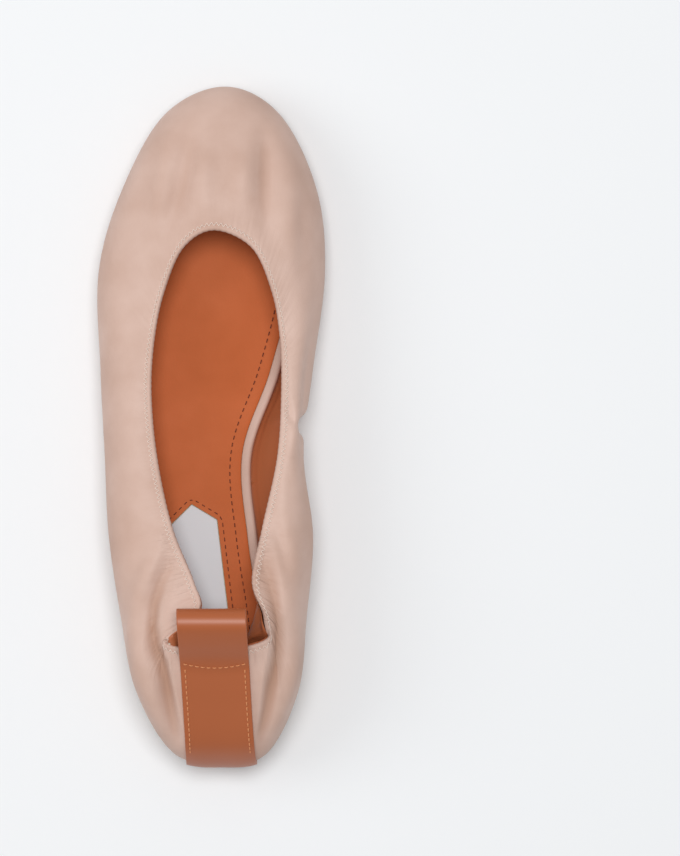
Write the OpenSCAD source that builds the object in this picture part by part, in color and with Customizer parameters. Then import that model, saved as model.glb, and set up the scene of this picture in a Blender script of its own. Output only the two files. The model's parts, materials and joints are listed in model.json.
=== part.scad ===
// Left-foot ballet slipper: soft gathered upper, lined and stiffened at toe and heel,
// on a wrapped insole, a thin leather outsole and a low heel, with a leather pull loop.
// +Y points to the toe, +X to the inner side of the foot, +Z up; z = 0 is the ground.

/* [Size] */
// Length from the heel strap to the tip of the toe
shoe_length = 250; // [235:1:265]
// Width across the ball of the foot
ball_width = 84; // [78:1:90]
// Height scale of the upper above the sole
upper_height_scale = 1; // [0.9:0.02:1.1]

/* [Leather] */
// Thickness of the outer leather
upper_t = 1.1; // [0.8:0.1:1.2]
// Thickness of the stiffeners at toe and heel
stiffener_t = 0.7; // [0.5:0.1:0.8]
// Thickness of the lining leather
lining_t = 0.7; // [0.5:0.1:0.8]
// Width of the elastic tape under the topline
elastic_w = 4; // [3:0.5:6]

/* [Sole] */
// Height of the heel seat above the ground
heel_seat_z = 12; // [10:0.5:13]
// Height of the sole edge above the ground at the ball
ball_seat_z = 4; // [3.8:0.1:5]
// Thickness of the leather outsole
outsole_t = 2.6; // [2:0.1:2.6]
// Thickness of the insole board
board_t = 1.7; // [1.2:0.1:1.8]
// Thickness of the insole foam
foam_t = 2.1; // [1.5:0.1:2.5]
// Thickness of the sock leather and of the wrapped edge
sock_t = 1; // [0.8:0.1:1.2]

/* [Pull loop] */
// Width of the heel strap and of its loop
strap_w = 25; // [18:1:28]
// Thickness of the strap leather
strap_t = 1.4; // [1:0.1:1.6]
// Height of the loop above the topline
loop_reach = 19; // [14:1:24]

/* [Motion] */
// How far the forefoot bends up
flex_max = 50; // [20:5:50]

/* [Hidden] */

nude = "#d3b6a8";
tan_leather = "#b5633a";
sx = ball_width / 84;
sy = shoe_length / 250;
gap = 0.1;              // air between two flat layers
wall_gap = 0.25;        // air between two curved layers
joint_gap = 0.3;        // air between two bodies, from each one to the cut between them
cut_gap = 0.5;          // the same in the upper, where the lining runs deeper than the cut's line
mid_d = -(upper_t + wall_gap);                  // outer face of the stiffener layer
lining_d = mid_d - stiffener_t - wall_gap;      // outer face of the lining
toe_u = 10;             // loop position of the toe tip
full_u = 20;            // one whole turn of the loop

// Five closed loops, bottom to topline, each from the heel centre round the outer side, the toe
// and the inner side. The sole edge takes its height from sole_z().
sole_edge = [[4.5, -118], [-11.5, -114.5], [-23.5, -98], [-27.5, -70], [-30, -40],
    [-32.5, -10], [-35.3, 20], [-37, 55], [-29.5, 86], [-15.5, 110.5],
    [5, 120], [22.5, 110.5], [34, 86], [37, 55], [29.5, 20],
    [19, -10], [21, -40], [25.5, -70], [27, -98], [18.5, -114.5]];
bulge = [[4.4, -123.3, 18], [-13.4, -119.6, 20], [-27, -97, 23], [-32.6, -70, 23],
    [-37, -40, 21.5], [-38.7, -10, 19.5], [-40.4, 20, 16.5], [-41.3, 57, 14.5], [-32.4, 88, 13.5],
    [-16.9, 115, 13.5], [5, 125, 14], [25, 115, 13.5], [38.5, 88, 13.5], [41.8, 57, 14.5],
    [37, 20, 18], [32.9, -10, 24], [36.6, -40, 23], [34.8, -70, 23], [31.9, -97, 23],
    [20.5, -119.6, 20]];
shoulder = [[4, -115.5, 31], [-15, -112, 33], [-26.4, -92, 36], [-30.4, -66.5, 35],
    [-34.5, -39, 33], [-36, -10.5, 30.5], [-37.6, 18, 27], [-38, 52.5, 25], [-30.8, 82.5, 25],
    [-16.3, 107, 25.5], [4.7, 116.5, 25], [23.8, 107, 25.5], [35.7, 82.5, 25], [38.3, 52.5, 25],
    [35.1, 18, 28], [33, -10.5, 33], [34.8, -39, 34], [32.5, -66.5, 35], [30.5, -92, 36],
    [20.5, -112, 33]];
crown = [[3.3, -98, 39.5], [-17.5, -93.5, 41.5], [-22, -78.5, 43.8], [-21.5, -61, 43.5],
    [-25.5, -37.5, 40.5], [-28.8, -11, 37.5], [-30.5, 15.5, 34.2], [-30.3, 44, 32.2],
    [-25, 68.5, 32.4], [-14, 88.5, 33.5], [3.2, 97.5, 33.8], [21, 88.5, 33.5], [30.5, 68.5, 32.4],
    [33.2, 44, 32.2], [32.6, 15.5, 34.6], [30.2, -11, 38.5], [28.5, -37.5, 41], [26.5, -61, 43.5],
    [26.3, -77, 43.8], [23.5, -93.5, 41.5]];
topline = [[2.8, -81, 46], [-16.7, -77.4, 46.5], [-3.8, -66.2, 45.5], [-5.6, -55.8, 43.5],
    [-13.5, -36, 41], [-19, -11, 38], [-21.3, 13, 35.5], [-20.2, 33, 34.5], [-17, 49, 35.5],
    [-10, 65, 37], [1.5, 71.5, 38], [15.6, 65, 37], [23, 48.7, 35.5], [25.6, 33, 34.5],
    [25.9, 13, 35.5], [24.2, -11, 38], [19, -36.3, 41], [15.4, -56, 43.5], [20.4, -68.3, 45.5],
    [21, -76.8, 46.5]];
// Outer edge of the wrapped insole, waisted on the inner side.
insole_edge = [[4.5, -114.2], [-10, -110.5], [-20, -97], [-23.8, -70], [-26.3, -40],
    [-28.8, -10], [-31.5, 20], [-33, 54], [-25.5, 84], [-12.5, 106.5],
    [5, 115.5], [20, 106.5], [30, 84], [32.8, 54], [25, 20],
    [14.8, -10], [16.8, -40], [21.3, -70], [23.3, -97], [16, -110.5]];

// Thickness of the heel's top piece, on the ground.
top_piece_t = 3;
// Heights of the layers above the sole edge.
filler_t = 1.1;
board_z = gap + filler_t + gap;
foam_z = board_z + board_t + gap;
sock_z = foam_z + foam_t + gap;
insole_top = sock_z + sock_t;

// Hinge of the forefoot, across the top of the insole at the ball.
flex_y = 38 * sy;
flex_z = ball_seat_z + insole_top + 0.2;
flex_lean = tan(flex_max / 2 + 3);
// The heel back lies above this slanted plane, given by a point and a normal in the side view.
back_point = [-81 * sy, 46];
back_normal = [-0.569, 0.823];
back_depth = -12;
// Hinge of the pull loop, at the middle of the topline at the back.
loop_hinge = [-81 * sy, 46 * upper_height_scale + 0.4];
loop_lean = 40;
// The strap leans a little to the outer side as it climbs.
strap_turn = 3;
function strap_x(y) = (1.7 - tan(strap_turn) * (y / sy + 81)) * sx;

function smooth(t) = let(s = min(1, max(0, t))) s * s * (3 - 2 * s);
// Height of the sole edge: flat heel seat, waist, flat ball and a toe that springs up.
function sole_z(y) = ball_seat_z + (heel_seat_z - ball_seat_z) * smooth((10 - y) / 90)
    + 3.2 * pow(max(0, y - 80) / 42, 2);
function unit(v) = v / norm(v);
function spline(a, b, c, d, t) = 0.5 * (2 * b + (c - a) * t + (2 * a - 5 * b + 4 * c - d) * t * t
    + (3 * b - a - 3 * c + d) * t * t * t);
function on_loop(loop, u) = let(n = len(loop), k = floor(u), t = u - k, i = (k % n + n) % n)
    spline(loop[(i + n - 1) % n], loop[i], loop[(i + 1) % n], loop[(i + 2) % n], t);
function sized(p) = [p.x * sx, p.y * sy,
    ball_seat_z + (p.z - ball_seat_z) * upper_height_scale];
function sole_point(u) = let(p = on_loop(sole_edge, u)) [p.x * sx, p.y * sy, sole_z(p.y)];
// A point of the upper's outer face: u runs round the shoe, v from the sole edge to the topline.
function skin(u, v) =
    let(p = [sole_point(u), sized(on_loop(bulge, u)), sized(on_loop(shoulder, u)),
             sized(on_loop(crown, u)), sized(on_loop(topline, u))],
        s = min(3.9999, max(0, v * 4)), k = floor(s), t = s - k,
        before = k == 0 ? 2 * p[0] - p[1] : p[k - 1],
        after = k == 3 ? 2 * p[4] - p[3] : p[k + 2])
    spline(before, p[k], p[k + 1], after, t);
// The same point moved outwards by d along the face's normal.
function on_skin(u, v, d) =
    let(e = 0.02, wide = 0.35, du = skin(u + wide, v) - skin(u - wide, v),
        dv = skin(u, min(1, v + e)) - skin(u, max(0, v - e)))
    skin(u, v) + unit(cross(dv, du)) * d;
function bisect(f, a, b, n = 16) = let(m = (a + b) / 2)
    n == 0 ? m : (f(a) * f(m) <= 0 ? bisect(f, a, m, n - 1) : bisect(f, m, b, n - 1));

// Where a cut crosses the upper at height v, on the outer or the inner side of the foot.
function fore_cut(v, inner) = bisect(function(u) let(p = skin(u, v))
    p.y - flex_y - cut_gap - max(0, p.z - flex_z) * flex_lean, inner ? 15 : 5, inner ? 11.5 : 8.5);
function quarter_cut(v, inner) = bisect(function(u) let(p = skin(u, v))
    p.y - flex_y + cut_gap + max(0, p.z - flex_z) * flex_lean, inner ? 15 : 5, inner ? 11.5 : 8.5);
function heel_cut(v, inner) = bisect(function(u) let(p = skin(u, v))
    (p.y - back_point.x) * back_normal.x + (p.z - back_point.y) * back_normal.y - back_depth,
    inner ? 19.7 : 0.3, inner ? 16 : 4);

// A solid through rings of points. Point j of a ring faces point m - 1 - j across its wall.
module rings_solid(rings) {
    n = len(rings);
    m = len(rings[0]);
    sides = [for (i = [0:n - 2], j = [0:m - 1]) let(a = i * m + j, b = i * m + (j + 1) % m)
        each [[a, b, b + m], [a, b + m, a + m]]];
    ends = [for (j = [0:m / 2 - 2]) let(c = m - 1 - j, z = (n - 1) * m)
        each [[j, c, c - 1], [j, c - 1, j + 1],
              [z + j, z + c - 1, z + c], [z + j, z + j + 1, z + c - 1]]];
    polyhedron(points = [for (r = rings) each r], faces = concat(sides, ends), convexity = 10);
}

// A wall that follows the upper between two cuts, from depth d_out to d_in, over v0 to v1. Every
// wall between the same cuts has its corners on one grid, so the layers' flat faces run parallel.
// Only the columns from first to last are built.
wall_rows = 12;
module wall(from_u, to_u, d_out, d_in, v0, v1, columns, first = 0, last = undef) {
    cuts = [for (j = [0:wall_rows]) [from_u(j / wall_rows), to_u(j / wall_rows)]];
    rows = concat([v0], [for (j = [0:wall_rows]) if (j / wall_rows > v0 + 0.01
        && j / wall_rows < v1 - 0.01) j / wall_rows], [v1]);
    function corner(i, j, d) = let(t = i / columns)
        on_skin(cuts[j][0] * (1 - t) + cuts[j][1] * t, j / wall_rows, d);
    function place(i, v, d) = let(s = v * wall_rows, j = min(wall_rows - 1, floor(s)), t = s - j)
        corner(i, j, d) * (1 - t) + corner(i, j + 1, d) * t;
    rings_solid([for (i = [first:is_undef(last) ? columns : last]) concat(
        [for (v = rows) place(i, v, d_out)],
        [for (j = [len(rows) - 1:-1:0]) place(i, rows[j], d_in)])]);
}

// The four stretches of the upper.
gap_u = 0.012;
vamp_columns = 36;
flex_columns = 4;
side_columns = 18;
back_columns = 28;
module fore_wall(d_out, d_in, v0 = 0, v1 = 1, first = 0, last = vamp_columns)
    wall(function(v) fore_cut(v, false), function(v) fore_cut(v, true), d_out, d_in, v0, v1,
        vamp_columns, first, last);
flex_v0 = 0.25;         // the gussets start above the hinge, where the cuts have opened
module flex_walls(d_out, d_in, v0 = flex_v0, v1 = 1) {
    wall(function(v) quarter_cut(v, false) + gap_u, function(v) fore_cut(v, false) - gap_u,
        d_out, d_in, v0, v1, flex_columns);
    wall(function(v) fore_cut(v, true) + gap_u, function(v) quarter_cut(v, true) - gap_u,
        d_out, d_in, v0, v1, flex_columns);
}
module side_walls(d_out, d_in, v0 = 0, v1 = 1) {
    wall(function(v) heel_cut(v, false) + gap_u, function(v) quarter_cut(v, false),
        d_out, d_in, v0, v1, side_columns);
    wall(function(v) quarter_cut(v, true), function(v) heel_cut(v, true) - gap_u,
        d_out, d_in, v0, v1, side_columns);
}
module back_wall(d_out, d_in, v0 = 0, v1 = 1, first = 0, last = back_columns)
    wall(function(v) heel_cut(v, true) - full_u, function(v) heel_cut(v, false), d_out, d_in,
        v0, v1, back_columns, first, last);

// A point of a flat loop, moved inwards by d.
function inset(loop, u, d) = let(e = 0.02, p = on_loop(loop, u),
    t = unit(on_loop(loop, u + e) - on_loop(loop, u - e))) [p.x * sx + t.y * d, p.y * sy - t.x * d];
// A layer of the sole between two loop positions, lying at z_low to z_high above the sole edge.
module layer(loop, d, z_low, z_high, u0, u1, columns = 36) {
    rings_solid([for (i = [0:columns])
        let(u = u0 + (u1 - u0) * (1 - cos(180 * i / columns)) / 2,
            a = inset(loop, u, d), b = inset(loop, full_u - u, d))
        [[a.x, a.y, z_low(a.y)], [a.x, a.y, z_high(a.y)],
         [b.x, b.y, z_high(b.y)], [b.x, b.y, z_low(b.y)]]]);
}
// The loop position where the layer's edge passes a given y.
function layer_u(loop, d, y) = bisect(function(u) inset(loop, u, d).y - y, 0.3, 9.7);
tip_u = 0.07;
module front_layer(loop, d, z_low, z_high, y0 = flex_y + joint_gap)
    layer(loop, d, z_low, z_high, layer_u(loop, d, y0), toe_u - tip_u, 30);
module back_layer(loop, d, z_low, z_high, y1 = flex_y - joint_gap)
    layer(loop, d, z_low, z_high, tip_u, layer_u(loop, d, y1), 40);

board_inset = 1;
wrap_w = 3.4;
function above(h) = function(y) sole_z(y) + h;

stiffener_in = mid_d - stiffener_t;
lining_in = lining_d - lining_t;
lining_v0 = 0.02;
lining_v1 = 0.985;
// The elastic tape runs just under the topline.
rise_per_v = 60;        // the upper's run per unit of v there, in millimetres
elastic_v1 = 0.98;
elastic_v0 = elastic_v1 - elastic_w / rise_per_v;
elastic_t = 0.4;
elastic_out = mid_d - (stiffener_t - elastic_t) / 2;
elastic_in = elastic_out - elastic_t;
// The stiffeners reach from just above the sole edge to these heights, round part of each wall.
stiffener_v0 = 0.04;
toe_puff_v1 = 0.5;
toe_puff_columns = [11, 25];
counter_v1 = 0.75;
counter_columns = [6, 22];
module vamp() color(nude) fore_wall(0, -upper_t);
module vamp_lining() color(tan_leather) fore_wall(lining_d, lining_in, lining_v0, lining_v1);
module toe_puff() color("beige") fore_wall(mid_d, stiffener_in, stiffener_v0,
    toe_puff_v1, toe_puff_columns[0], toe_puff_columns[1]);
module elastic_front() color("white") fore_wall(elastic_out, elastic_in, elastic_v0, elastic_v1);
module flex_leather() color(nude) flex_walls(0, -upper_t);
module flex_lining() color(tan_leather) flex_walls(lining_d, lining_in, flex_v0, lining_v1);
module flex_elastic() color("white") flex_walls(elastic_out, elastic_in, elastic_v0, elastic_v1);
module quarters() color(nude) side_walls(0, -upper_t);
module quarter_lining() color(tan_leather) side_walls(lining_d, lining_in, lining_v0, lining_v1);
module elastic_sides() color("white") side_walls(elastic_out, elastic_in, elastic_v0, elastic_v1);
module heel_leather() color(nude) back_wall(0, -upper_t);
module heel_lining() color(tan_leather) back_wall(lining_d, lining_in, lining_v0, lining_v1);
module elastic_back() color("white") back_wall(elastic_out, elastic_in, elastic_v0, elastic_v1);
module heel_counter() color("beige") back_wall(mid_d, stiffener_in, stiffener_v0,
    counter_v1, counter_columns[0], counter_columns[1]);

// Nails that hold the heel: driven from inside, head flush with the insole board.
nail_r = 0.8;
nail_head_r = 1.6;
nail_head_t = 0.6;
nail_sides = 12;
nail_foot = top_piece_t + 1;
nail_top = heel_seat_z + board_z + board_t;
nail_places = [[4.2, -109], [-9, -102], [17.5, -102], [-14, -84], [17, -84]];
module nails(grow = 0) for (p = nail_places) translate([p.x * sx, p.y * sy, 0]) {
    translate([0, 0, nail_foot - grow])
        cylinder(h = nail_top - nail_foot, r = nail_r + grow, $fn = nail_sides);
    translate([0, 0, nail_top - nail_head_t - grow])
        cylinder(h = nail_head_t + 2 * grow, r = nail_head_r + grow, $fn = nail_sides);
}
module heel_nails() color("silver") nails();

module outsole_front() color("tan")
    front_layer(sole_edge, 0, above(-outsole_t - gap), above(-gap));
module outsole_back() color("tan") difference() {
    back_layer(sole_edge, 0, above(-outsole_t - gap), above(-gap));
    nails(gap);
}
module filler_front() color("sienna")
    front_layer(insole_edge, 4, above(gap), above(gap + filler_t));
module board_front() color("burlywood")
    front_layer(insole_edge, board_inset, above(board_z), above(board_z + board_t));
module board_back() color("burlywood") difference() {
    back_layer(insole_edge, board_inset, above(board_z), above(board_z + board_t));
    nails(gap);
}
module foam_front() color("lightyellow")
    front_layer(insole_edge, board_inset, above(foam_z), above(foam_z + foam_t));
module foam_back() color("lightyellow")
    back_layer(insole_edge, board_inset, above(foam_z), above(foam_z + foam_t));
module sock_front() color(tan_leather)
    front_layer(insole_edge, wrap_w + gap, above(sock_z), above(insole_top));

// The wrapped edge of the insole: a band on top and a skirt down the side.
module wrap(u0, u1, columns) {
    profile = [[0, board_z], [0, insole_top], [wrap_w, insole_top],
        [wrap_w, sock_z], [board_inset - gap, sock_z], [board_inset - gap, board_z]];
    rings_solid([for (i = [0:columns]) let(u = u0 + (u1 - u0) * i / columns)
        [for (q = profile) let(p = inset(insole_edge, u, q.x)) [p.x, p.y, sole_z(p.y) + q.y]]]);
}
module wrap_front() color(nude) let(u = layer_u(insole_edge, 0, flex_y + joint_gap))
    wrap(u, full_u - u, 40);
module wrap_back() color(nude) let(u = layer_u(insole_edge, 0, flex_y - joint_gap))
    wrap(-u, u, 60);

// The label: a strip with a pointed front, turned a little across the heel seat.
label_w = 17;
label_tip = [-7, -28.5];
label_len = 72;
label_turn = 7;
label_t = 0.6;
module label_outline(grow = 0) translate(label_tip) rotate(label_turn) offset(delta = grow)
    polygon([[0, 0], [label_w / 2, -6.6], [label_w / 2, -label_len], [-label_w / 2, -label_len],
             [-label_w / 2, -6.6]]);
module sock_back() color(tan_leather) difference() {
    back_layer(insole_edge, wrap_w + gap, above(sock_z), above(insole_top));
    translate([0, 0, 2]) linear_extrude(30) label_outline(gap);
}
module heel_label() color("white") intersection() {
    back_layer(insole_edge, wrap_w + gap, above(sock_z), above(sock_z + label_t));
    translate([0, 0, 2]) linear_extrude(30) label_outline();
}

// Flat rubber pads under the ball, the heel and its top piece.
tread_t = 1.2;
heel_breast_y = -72 * sy;
function flat(h) = function(y) h;
tread_inset = 4;
module pad_outline(loop, d, y0, y1) {
    u0 = y0 < -100 * sy ? tip_u : layer_u(loop, d, y0);
    u1 = layer_u(loop, d, y1);
    side = [for (i = [0:24]) inset(loop, u0 + (u1 - u0) * i / 24, d)];
    other = [for (i = [24:-1:0]) inset(loop, full_u - (u0 + (u1 - u0) * i / 24), d)];
    polygon(concat(side, other));
}
module tread_front() color("#3a3230") linear_extrude(tread_t)
    pad_outline(sole_edge, tread_inset, flex_y + 2, 90 * sy);
module tread_back() color("#3a3230") linear_extrude(tread_t)
    pad_outline(sole_edge, tread_inset, 14 * sy, flex_y - 2);
module heel_top_piece() color("#3a3230") linear_extrude(top_piece_t)
    pad_outline(sole_edge, 1, -118 * sy, heel_breast_y);
module heel_lift() color("peru") difference() {
    back_layer(sole_edge, 0.8, flat(top_piece_t + gap), above(-outsole_t - 2 * gap), heel_breast_y);
    nails(gap);
}

// The shank: a sprung steel strip under the waist of the insole.
shank_w = 12;
module shank() color("lightsteelblue") rings_solid([for (i = [0:24])
    let(y = (-92 + 100 * i / 24) * sy, x = -4 * sx)
    [[x - shank_w / 2, y, sole_z(y) + gap], [x - shank_w / 2, y, sole_z(y) + gap + filler_t],
     [x + shank_w / 2, y, sole_z(y) + gap + filler_t], [x + shank_w / 2, y, sole_z(y) + gap]]]);

// A strap drawn in the side view as a ribbon along a path, and given its width along X.
function ribbon(path, t) = let(n = len(path),
    side = [for (i = [0:n - 1]) let(d = unit(path[min(n - 1, i + 1)] - path[max(0, i - 1)]))
        [-d.y, d.x]])
    concat([for (i = [0:n - 1]) path[i] + side[i] * t / 2],
           [for (i = [n - 1:-1:0]) path[i] - side[i] * t / 2]);
// Where the strap's edge crosses the heel back at height v: side is -1 or 1.
function strap_u(v, side) = bisect(function(u) let(p = skin(u, v))
    p.x - strap_x(p.y) - side * strap_w / 2, 0, -side * 3);
module heel_strap() color(tan_leather) wall(function(v) strap_u(v, 1),
    function(v) strap_u(v, -1), wall_gap + strap_t, wall_gap, 0.1, lining_v1, 8);
// The loop above the topline: two legs and a round fold, leaning towards the toe.
leg_d = 4;
fold_r = 4.3;
leg_start = 2.4;
inner_leg_start = 8;     // the inner leg ends above the topline
module pull_loop() color(tan_leather)
    translate([strap_x(loop_hinge.x), loop_hinge.x, loop_hinge.y]) rotate(strap_turn)
        rotate([90, 0, 90]) rotate(loop_lean) translate([0, 0, -strap_w / 2])
            linear_extrude(strap_w) polygon(ribbon(concat(
                [[inner_leg_start, -fold_r]],
                [for (a = [-90:15:90]) [loop_reach - fold_r - strap_t / 2 + fold_r * cos(a),
                                        fold_r * sin(a)]],
                [[leg_start, leg_d]]), strap_t));

vamp();
vamp_lining();
toe_puff();
elastic_front();
outsole_front();
tread_front();
filler_front();
board_front();
foam_front();
wrap_front();
sock_front();
flex_leather();
flex_lining();
flex_elastic();
quarters();
quarter_lining();
elastic_sides();
outsole_back();
tread_back();
heel_lift();
heel_top_piece();
heel_nails();
shank();
board_back();
foam_back();
wrap_back();
sock_back();
heel_label();
heel_leather();
heel_lining();
heel_counter();
elastic_back();
heel_strap();
pull_loop();
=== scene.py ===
"""Soft ballet slipper: leather, linings, sock, label, stitches and heel strap round the CAD frame."""

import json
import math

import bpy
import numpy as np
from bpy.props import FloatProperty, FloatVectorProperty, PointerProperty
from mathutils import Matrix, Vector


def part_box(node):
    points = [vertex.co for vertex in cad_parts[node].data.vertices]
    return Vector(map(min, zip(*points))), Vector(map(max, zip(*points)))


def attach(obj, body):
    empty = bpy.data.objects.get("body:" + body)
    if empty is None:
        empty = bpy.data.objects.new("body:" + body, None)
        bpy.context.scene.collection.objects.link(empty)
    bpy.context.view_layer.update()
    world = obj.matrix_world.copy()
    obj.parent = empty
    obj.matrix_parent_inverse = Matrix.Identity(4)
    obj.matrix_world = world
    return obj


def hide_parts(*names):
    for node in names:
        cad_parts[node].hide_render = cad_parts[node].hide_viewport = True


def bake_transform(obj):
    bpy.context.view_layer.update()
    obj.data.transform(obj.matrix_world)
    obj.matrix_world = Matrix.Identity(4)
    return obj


bl_info = {
    "name": "Ballet slipper",
    "version": (1, 0, 0),
    "blender": (4, 5, 0),
    "location": "View3D > Sidebar > Slipper",
    "description": "Makes the leathers, linings, sock, stitches and strap of a soft ballet slipper",
    "category": "Add Mesh",
}

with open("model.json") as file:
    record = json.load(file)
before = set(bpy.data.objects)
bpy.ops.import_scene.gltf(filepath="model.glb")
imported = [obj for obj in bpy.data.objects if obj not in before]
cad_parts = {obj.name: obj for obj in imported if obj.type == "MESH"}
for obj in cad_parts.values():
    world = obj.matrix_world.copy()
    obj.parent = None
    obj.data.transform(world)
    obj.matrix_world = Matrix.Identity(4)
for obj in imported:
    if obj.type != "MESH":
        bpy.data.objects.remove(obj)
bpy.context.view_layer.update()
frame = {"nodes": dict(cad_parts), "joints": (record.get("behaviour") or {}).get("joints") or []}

MM = 0.001
TURN = 20          # stations on one whole turn of a loop
WAIST = 4.66       # station of the waist, where the front and the back pieces meet

# The CAD's loops, in millimetres, bottom to topline. Each starts at the heel centre and runs
# round the outer side, the toe and the inner side of the foot.
SOLE_EDGE = [(4.5, -118, 0), (-11.5, -114.5, 0), (-23.5, -98, 0), (-27.5, -70, 0), (-30, -40, 0),
             (-32.5, -10, 0), (-35.3, 20, 0), (-37, 55, 0), (-29.5, 86, 0), (-15.5, 110.5, 0),
             (5, 120, 0), (22.5, 110.5, 0), (34, 86, 0), (37, 55, 0), (29.5, 20, 0),
             (19, -10, 0), (21, -40, 0), (25.5, -70, 0), (27, -98, 0), (18.5, -114.5, 0)]
BULGE = [(4.4, -123.3, 18), (-13.4, -119.6, 20), (-27, -97, 23), (-32.6, -70, 23),
         (-37, -40, 21.5), (-38.7, -10, 19.5), (-40.4, 20, 16.5), (-41.3, 57, 14.5),
         (-32.4, 88, 13.5), (-16.9, 115, 13.5), (5, 125, 14), (25, 115, 13.5), (38.5, 88, 13.5),
         (41.8, 57, 14.5), (37, 20, 18), (32.9, -10, 24), (36.6, -40, 23), (34.8, -70, 23),
         (31.9, -97, 23), (20.5, -119.6, 20)]
SHOULDER = [(4, -115.5, 31), (-15, -112, 33), (-26.4, -92, 36), (-30.4, -66.5, 35),
            (-34.5, -39, 33), (-36, -10.5, 30.5), (-37.6, 18, 27), (-38, 52.5, 25),
            (-30.8, 82.5, 25), (-16.3, 107, 25.5), (4.7, 116.5, 25), (23.8, 107, 25.5),
            (35.7, 82.5, 25), (38.3, 52.5, 25), (35.1, 18, 28), (33, -10.5, 33), (34.8, -39, 34),
            (32.5, -66.5, 35), (30.5, -92, 36), (20.5, -112, 33)]
CROWN = [(3.3, -98, 39.5), (-17.5, -93.5, 41.5), (-22, -78.5, 43.8), (-21.5, -61, 43.5),
         (-25.5, -37.5, 40.5), (-28.8, -11, 37.5), (-30.5, 15.5, 34.2), (-30.3, 44, 32.2),
         (-25, 68.5, 32.4), (-14, 88.5, 33.5), (3.2, 97.5, 33.8), (21, 88.5, 33.5),
         (30.5, 68.5, 32.4), (33.2, 44, 32.2), (32.6, 15.5, 34.6), (30.2, -11, 38.5),
         (28.5, -37.5, 41), (26.5, -61, 43.5), (26.3, -77, 43.8), (23.5, -93.5, 41.5)]
TOPLINE = [(2.8, -81, 46), (-16.7, -77.4, 46.5), (-3.8, -66.2, 45.5), (-5.6, -55.8, 43.5),
           (-13.5, -36, 41), (-19, -11, 38), (-21.3, 13, 35.5), (-20.2, 33, 34.5), (-17, 49, 35.5),
           (-10, 65, 37), (1.5, 71.5, 38), (15.6, 65, 37), (23, 48.7, 35.5), (25.6, 33, 34.5),
           (25.9, 13, 35.5), (24.2, -11, 38), (19, -36.3, 41), (15.4, -56, 43.5),
           (20.4, -68.3, 45.5), (21, -76.8, 46.5)]
INSOLE_EDGE = [(4.5, -114.2, 0), (-10, -110.5, 0), (-20, -97, 0), (-23.8, -70, 0),
               (-26.3, -40, 0), (-28.8, -10, 0), (-31.5, 20, 0), (-33, 54, 0), (-25.5, 84, 0),
               (-12.5, 106.5, 0), (5, 115.5, 0), (20, 106.5, 0), (30, 84, 0), (32.8, 54, 0),
               (25, 20, 0), (14.8, -10, 0), (16.8, -40, 0), (21.3, -70, 0), (23.3, -97, 0),
               (16, -110.5, 0)]
SKIN_LOOPS = [np.array(loop) * MM for loop in (SOLE_EDGE, BULGE, SHOULDER, CROWN, TOPLINE)]
SOLE_LOOP = SKIN_LOOPS[0]
INSOLE_LOOP = np.array(INSOLE_EDGE) * MM

# Joints that the frame gives: the ball filler ends at the toe joint, and the pull loop is laid out
# from its hinge.
JOINTS = {joint["name"]: joint for joint in frame["joints"]}
FLEX_Y = JOINTS["toe_flex"]["pos_m"][1]
LOOP_HINGE = np.array(JOINTS["loop_swing"]["pos_m"])


# ---------------------------------------------------------------- sizes and colours

def from_screen(red, green, blue):
    """A colour as seen on a screen, 0 to 255, made the linear colour that shaders take."""
    def linear(value):
        c = value / 255
        return c / 12.92 if c <= 0.04045 else ((c + 0.055) / 1.055) ** 2.4
    return linear(red), linear(green), linear(blue), 1.0


def length(label, words, default):
    return FloatProperty(name=label, description=words, default=default, unit="LENGTH",
                         subtype="DISTANCE", precision=5)


def colour(label, words, red, green, blue):
    return FloatVectorProperty(name=label, description=words, size=4, subtype="COLOR",
                               min=0, max=1, default=from_screen(red, green, blue))


class SlipperSizes(bpy.types.PropertyGroup):
    leather: length("Leather", "Thickness of the outer leather", 0.0011)
    lining: length("Lining", "Thickness of the lining leather", 0.0007)
    layer_gap: length("Layer gap", "Air between two layers", 0.0001)
    lip: length("Lip radius", "Radius of the folded lip round the opening", 0.00115)
    facing: length("Facing", "How far the leather turns down inside the opening", 0.0012)
    tape: length("Tape width", "Width of the elastic tape", 0.004)
    thread: length("Thread", "Radius of the sewing thread", 0.00015)
    zigzag: length("Zigzag pitch", "Length of one zigzag round the opening", 0.0017)
    stitch: length("Stitch pitch", "Length of one plain stitch on the sock", 0.0027)
    strap_width: length("Strap width", "Width of the heel strap", 0.025)
    strap: length("Strap", "Thickness of the heel strap", 0.0014)
    label_width: length("Label width", "Width of the label in the sock", 0.017)


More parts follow.
